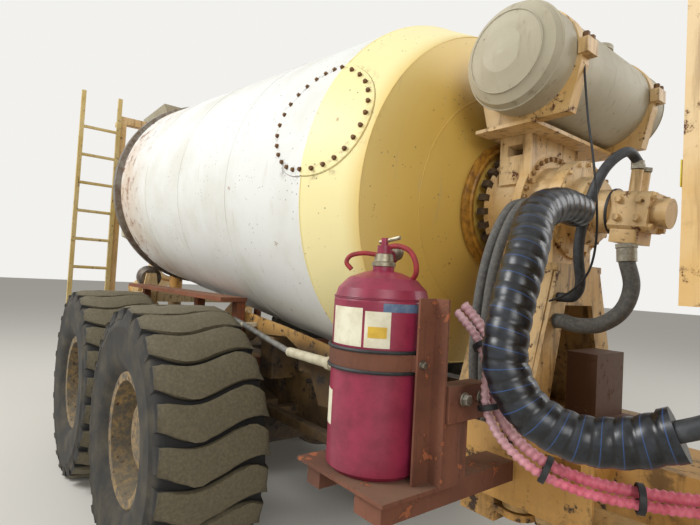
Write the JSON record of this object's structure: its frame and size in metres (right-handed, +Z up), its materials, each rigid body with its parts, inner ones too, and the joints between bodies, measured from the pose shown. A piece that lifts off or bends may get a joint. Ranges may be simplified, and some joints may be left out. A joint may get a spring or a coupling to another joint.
{
  "type": "articulated concrete mixer truck",
  "caption": "Off-road concrete mixer truck: a tilted mixing drum on an articulated six-wheeled carrier with its drive, water tank, chute, cab and bonnet.",
  "frame": {"origin": "on the ground, under the middle of the machine's bounding box", "axes": "+X forward, +Y to the machine's left, +Z up"},
  "size_m": [11.6858, 2.85, 3.71],
  "materials": {
    "machine_paint": "worn tan-yellow paint with dust",
    "tank_paint": "dusty cream paint",
    "bottle_paint": "crimson paint",
    "rusty_steel": "rusted plate",
    "hose": "black hose",
    "pink_conduit": "faded pink conduit",
    "lemon_paint": "faded yellow paint",
    "drum_paint": "chalky white paint, yellow at the front",
    "bare_steel": "bare steel",
    "engine_iron": "oily dark iron",
    "lamp": "clear lamp",
    "glass": "clear",
    "trim": "dark cab trim",
    "tyre": "worn rubber with brown dust"
  },
  "bodies": {
    "chassis": {"rear_frame": "machine_paint", "bogie": "machine_paint", "front_pedestal": "machine_paint", "drum_gearbox": "machine_paint", "drum_motor": "machine_paint", "water_tank": "tank_paint", "tank_cradle": "machine_paint", "fire_bottle": "bottle_paint", "bottle_stand": "rusty_steel", "hose_bundle": "hose", "conduits": "pink_conduit", "motor_hoses": "hose", "rear_pedestal": "machine_paint", "ladder": "lemon_paint", "side_decks": "rusty_steel", "hopper": "tank_paint", "collector": "tank_paint"},
    "drum": {"drum_shell": "drum_paint", "drum_blades": "bare_steel", "drum_track": "tank_paint", "drum_hatches": "drum_paint"},
    "roller_l": {"roller_left": "bare_steel"},
    "roller_r": {"roller_right": "bare_steel"},
    "turret": {"chute_turret": "machine_paint"},
    "chute_trough": {"chute": "machine_paint"},
    "front_unit": {"front_frame": "machine_paint", "front_axle": "machine_paint", "engine_block": "engine_iron", "front_guards": "machine_paint", "cooler_tower": "machine_paint", "side_tank": "machine_paint", "exhaust": "rusty_steel", "lamps": "lamp", "cab_shell": "machine_paint", "cab_glass": "glass", "cab_inside": "trim", "handrails": "lemon_paint"},
    "bonnet_lid": {"bonnet": "machine_paint"},
    "door": {"cab_door": "machine_paint", "door_glass": "glass"},
    "barrel_l": {"ram_barrel_left": "machine_paint"},
    "barrel_r": {"ram_barrel_right": "machine_paint"},
    "rod_l": {"ram_rod_left": "bare_steel"},
    "rod_r": {"ram_rod_right": "bare_steel"},
    "wheel_front_left": {"tyre_front_left": "tyre", "rim_front_left": "machine_paint"},
    "wheel_front_right": {"tyre_front_right": "tyre", "rim_front_right": "machine_paint"},
    "wheel_mid_left": {"tyre_mid_left": "tyre", "rim_mid_left": "machine_paint"},
    "wheel_mid_right": {"tyre_mid_right": "tyre", "rim_mid_right": "machine_paint"},
    "wheel_rear_left": {"tyre_rear_left": "tyre", "rim_rear_left": "machine_paint"},
    "wheel_rear_right": {"tyre_rear_right": "tyre", "rim_rear_right": "machine_paint"}
  },
  "joints": [
    {"name": "steer", "type": "hinge", "parent": "chassis", "child": "front_unit", "pos_m": [1.85786, 0, 0.965], "axis": [0, 0, 1], "range_deg": [-45, 45], "deforming": ["hose_bundle", "conduits"]},
    {"name": "spin_front_left", "type": "hinge", "parent": "front_unit", "child": "wheel_front_left", "pos_m": [3.08286, 1.125, 0.775], "axis": [0, 1, 0], "continuous": true},
    {"name": "spin_front_right", "type": "hinge", "parent": "front_unit", "child": "wheel_front_right", "pos_m": [3.08286, -1.125, 0.775], "axis": [0, 1, 0], "continuous": true},
    {"name": "spin_mid_left", "type": "hinge", "parent": "chassis", "child": "wheel_mid_left", "pos_m": [-1.09214, 1.125, 0.775], "axis": [0, 1, 0], "continuous": true},
    {"name": "spin_mid_right", "type": "hinge", "parent": "chassis", "child": "wheel_mid_right", "pos_m": [-1.09214, -1.125, 0.775], "axis": [0, 1, 0], "continuous": true},
    {"name": "spin_rear_left", "type": "hinge", "parent": "chassis", "child": "wheel_rear_left", "pos_m": [-2.76214, 1.125, 0.775], "axis": [0, 1, 0], "continuous": true},
    {"name": "spin_rear_right", "type": "hinge", "parent": "chassis", "child": "wheel_rear_right", "pos_m": [-2.76214, -1.125, 0.775], "axis": [0, 1, 0], "continuous": true},
    {"name": "drum_spin", "type": "hinge", "parent": "chassis", "child": "drum", "pos_m": [0.81786, 0, 2.135], "axis": [-0.9936, 0, 0.1132], "continuous": true},
    {"name": "roller_l_spin", "type": "hinge", "parent": "chassis", "child": "roller_l", "pos_m": [-3.66369, 0.56015, 1.66912], "axis": [-0.9936, 0, 0.1132], "continuous": true},
    {"name": "roller_r_spin", "type": "hinge", "parent": "chassis", "child": "roller_r", "pos_m": [-3.66369, -0.56015, 1.66912], "axis": [-0.9936, 0, 0.1132], "continuous": true},
    {"name": "chute_swing", "type": "hinge", "parent": "chassis", "child": "turret", "pos_m": [-4.42904, 0, 1.8], "axis": [0, 0, 1], "range_deg": [-70, 70]},
    {"name": "chute_tilt", "type": "hinge", "parent": "turret", "child": "chute_trough", "pos_m": [-4.65404, 0, 1.86], "axis": [0, 1, 0], "range_deg": [-12, 14]},
    {"name": "bonnet_lift", "type": "hinge", "parent": "front_unit", "child": "bonnet_lid", "pos_m": [5.70486, 0, 1.24], "axis": [0, 1, 0], "range_deg": [0, 65]},
    {"name": "door_swing", "type": "hinge", "parent": "front_unit", "child": "door", "pos_m": [2.78886, 0.794, 2.31], "axis": [0, 0, 1], "range_deg": [0, 85]},
    {"name": "barrel_l_turn", "type": "hinge", "parent": "chassis", "child": "barrel_l", "pos_m": [0.85786, 0.43, 0.965], "axis": [0, 0, 1], "range_deg": [-3, 3]},
    {"name": "rod_l_slide", "type": "slide", "parent": "barrel_l", "child": "rod_l", "axis": [0.9956, -0.0939, 0], "range_m": [-0.245, 0.245]},
    {"name": "barrel_r_turn", "type": "hinge", "parent": "chassis", "child": "barrel_r", "pos_m": [0.85786, -0.43, 0.965], "axis": [0, 0, 1], "range_deg": [-3, 3]},
    {"name": "rod_r_slide", "type": "slide", "parent": "barrel_r", "child": "rod_r", "axis": [0.9956, 0.0939, 0], "range_m": [-0.245, 0.245]}
  ],
  "couplings": [
    {"joint": "roller_l_spin", "follows": "drum_spin", "ratio": -8.3333},
    {"joint": "roller_r_spin", "follows": "drum_spin", "ratio": -8.3333},
    {"joint": "barrel_l_turn", "follows": "steer", "ratio": 0.027},
    {"joint": "rod_l_slide", "follows": "steer", "m_per_rad": -0.30197},
    {"joint": "barrel_r_turn", "follows": "steer", "ratio": 0.027},
    {"joint": "rod_r_slide", "follows": "steer", "m_per_rad": 0.30197}
  ]
}
